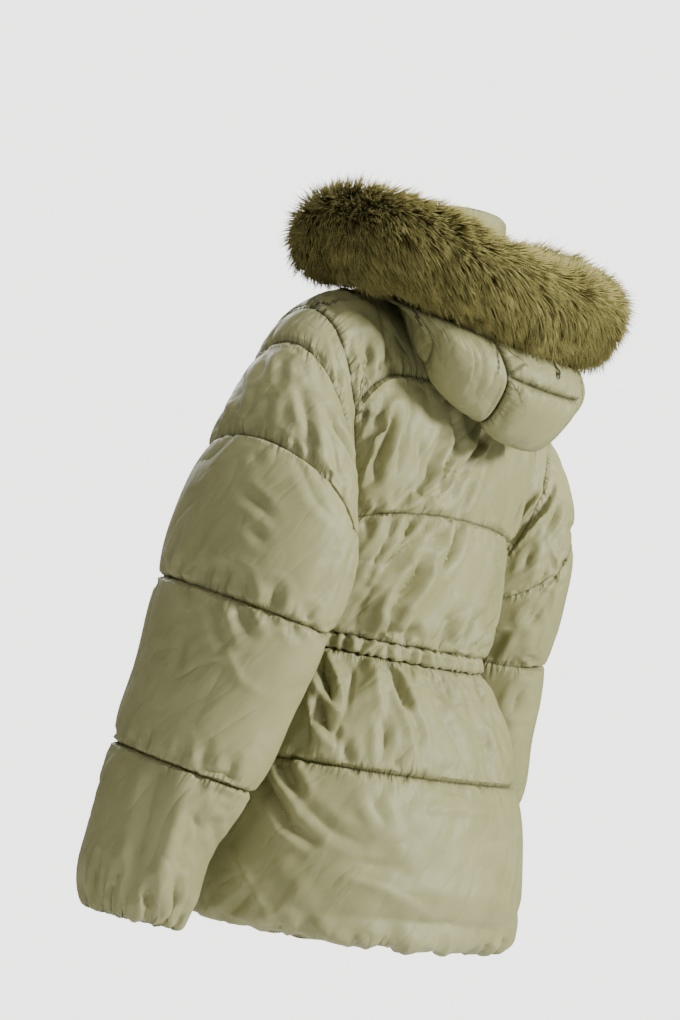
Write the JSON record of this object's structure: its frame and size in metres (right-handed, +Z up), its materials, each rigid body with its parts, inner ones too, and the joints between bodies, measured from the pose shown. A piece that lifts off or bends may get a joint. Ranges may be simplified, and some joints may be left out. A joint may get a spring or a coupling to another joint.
{
  "type": "fur trimmed parka",
  "caption": "Padded hip-length parka with a zip front, stand collar, drawn-in waist and a lowered hood edged with thick fur, in its worn form.",
  "frame": {"origin": "middle of the neck opening, level with the back collar seam, where the wearer's shoulders and neck carry it", "axes": "+X to the wearer's left, +Y to the wearer's back, +Z up"},
  "size_m": [0.7516, 0.4535, 0.8859],
  "materials": {
    "back_bodice": "nylon, satin",
    "back_skirt": "nylon, satin",
    "fur_trim": "long pile fake fur, matt",
    "hood_centre_panel": "nylon, satin",
    "hood_cord": "round braided cord, matt",
    "hood_eyelet": "dark bronze, satin",
    "hood_left_panel": "nylon, satin",
    "hood_right_panel": "nylon, satin",
    "left_front_bodice": "nylon, satin",
    "left_front_skirt": "nylon, satin",
    "left_sleeve": "nylon, satin",
    "right_front_bodice": "nylon, satin",
    "right_front_skirt": "nylon, satin",
    "right_sleeve": "nylon, satin",
    "stand_collar": "nylon, satin",
    "waist_casing": "nylon, satin",
    "zip_chain": "dark bronze, satin",
    "zip_pull_tab": "dark bronze, satin",
    "zip_slider": "dark bronze, satin",
    "zip_tape_left": "woven zip tape, matt",
    "zip_tape_right": "woven zip tape, matt"
  },
  "bodies": {
    "parka": {"back_bodice": "back_bodice", "back_skirt": "back_skirt", "fur_trim": "fur_trim", "hood_centre_panel": "hood_centre_panel", "hood_cord": "hood_cord", "hood_eyelet": "hood_eyelet", "hood_left_panel": "hood_left_panel", "hood_right_panel": "hood_right_panel", "left_front_bodice": "left_front_bodice", "left_front_skirt": "left_front_skirt", "left_sleeve": "left_sleeve", "right_front_bodice": "right_front_bodice", "right_front_skirt": "right_front_skirt", "right_sleeve": "right_sleeve", "stand_collar": "stand_collar", "waist_casing": "waist_casing", "zip_chain": "zip_chain", "zip_slider": "zip_slider", "zip_tape_left": "zip_tape_left", "zip_tape_right": "zip_tape_right"},
    "pull_tab": {"zip_pull_tab": "zip_pull_tab"}
  },
  "joints": [
    {"name": "pull_tab_hinge", "type": "hinge", "parent": "parka", "child": "pull_tab", "pos_m": [0, -0.07172, 0.026], "axis": [-1, 0, 0], "range_deg": [0, 120]}
  ]
}
